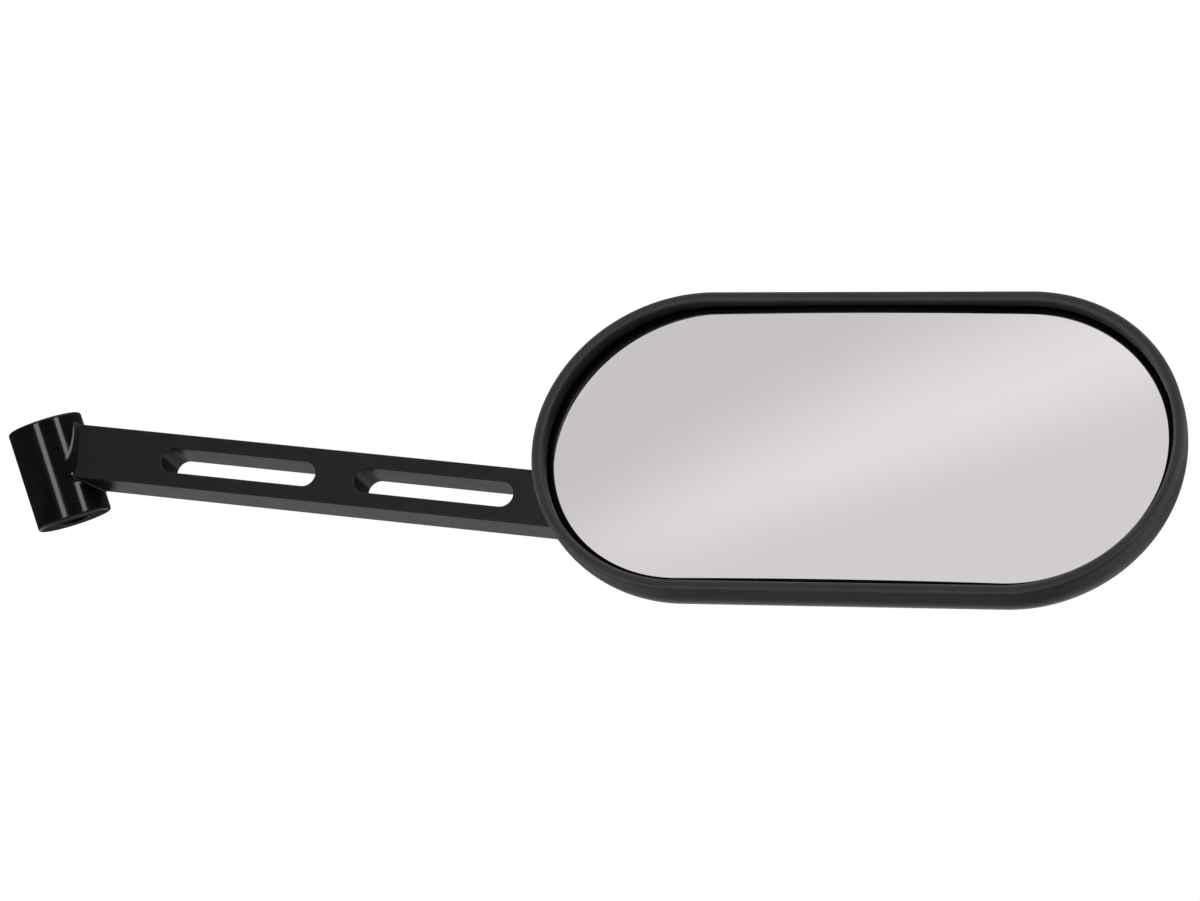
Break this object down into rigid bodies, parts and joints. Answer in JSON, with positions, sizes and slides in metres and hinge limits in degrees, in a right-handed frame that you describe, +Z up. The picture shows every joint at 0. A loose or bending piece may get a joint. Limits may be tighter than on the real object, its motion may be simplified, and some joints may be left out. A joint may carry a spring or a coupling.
{
  "type": "motorcycle mirror",
  "caption": "Long oval rear-view mirror: convex glass in a domed head, on a ball joint and a slotted flat-bar stem that ends in a leaning round mounting collar.",
  "frame": {"origin": "centre of the mounting collar's seat face, on the screw bore's axis", "axes": "+X along the head, whose long axis hangs half a degree below it at the far end; -Y to the rider, who looks at the glass; +Z up"},
  "size_m": [0.3556, 0.099, 0.0833],
  "materials": {
    "collar_black": "gloss",
    "stem_black": "satin",
    "hardware": "satin",
    "seat_plastic": "matte",
    "shell_plastic": "matte",
    "carrier_plastic": "matte",
    "mirror": "polished",
    "foam": "matte",
    "seal_rubber": "gloss"
  },
  "bodies": {
    "stem": {"mount_collar": "collar_black", "stem_bar": "stem_black", "weld_bead": "stem_black"},
    "stud": {"ball_stud": "hardware", "stud_washer": "hardware", "spring_washer": "hardware", "stud_nut": "hardware"},
    "seats": {"rear_seat": "seat_plastic", "front_seat": "seat_plastic"},
    "head": {"head_shell": "shell_plastic", "retainer_plate": "hardware", "retainer_screw_1": "hardware", "retainer_screw_2": "hardware", "retainer_screw_3": "hardware", "retainer_screw_4": "hardware", "glass_carrier": "carrier_plastic", "adhesive_pad": "foam", "mirror_glass": "mirror", "glass_seal": "seal_rubber"}
  },
  "joints": [
    {"name": "head_roll", "type": "hinge", "parent": "stem", "child": "stud", "pos_m": [0.24825, -0.0492, 0.00638], "axis": [-0.0417, -0.9416, 0.334], "continuous": true},
    {"name": "head_tilt", "type": "hinge", "parent": "stud", "child": "seats", "pos_m": [0.24825, -0.0492, 0.00638], "axis": [1, -0.004, -0.0077], "range_deg": [-7, 23]},
    {"name": "head_turn", "type": "hinge", "parent": "seats", "child": "head", "pos_m": [0.24825, -0.0492, 0.00638], "axis": [0.0087, 0.4602, 0.8878], "range_deg": [-14, 10]}
  ]
}
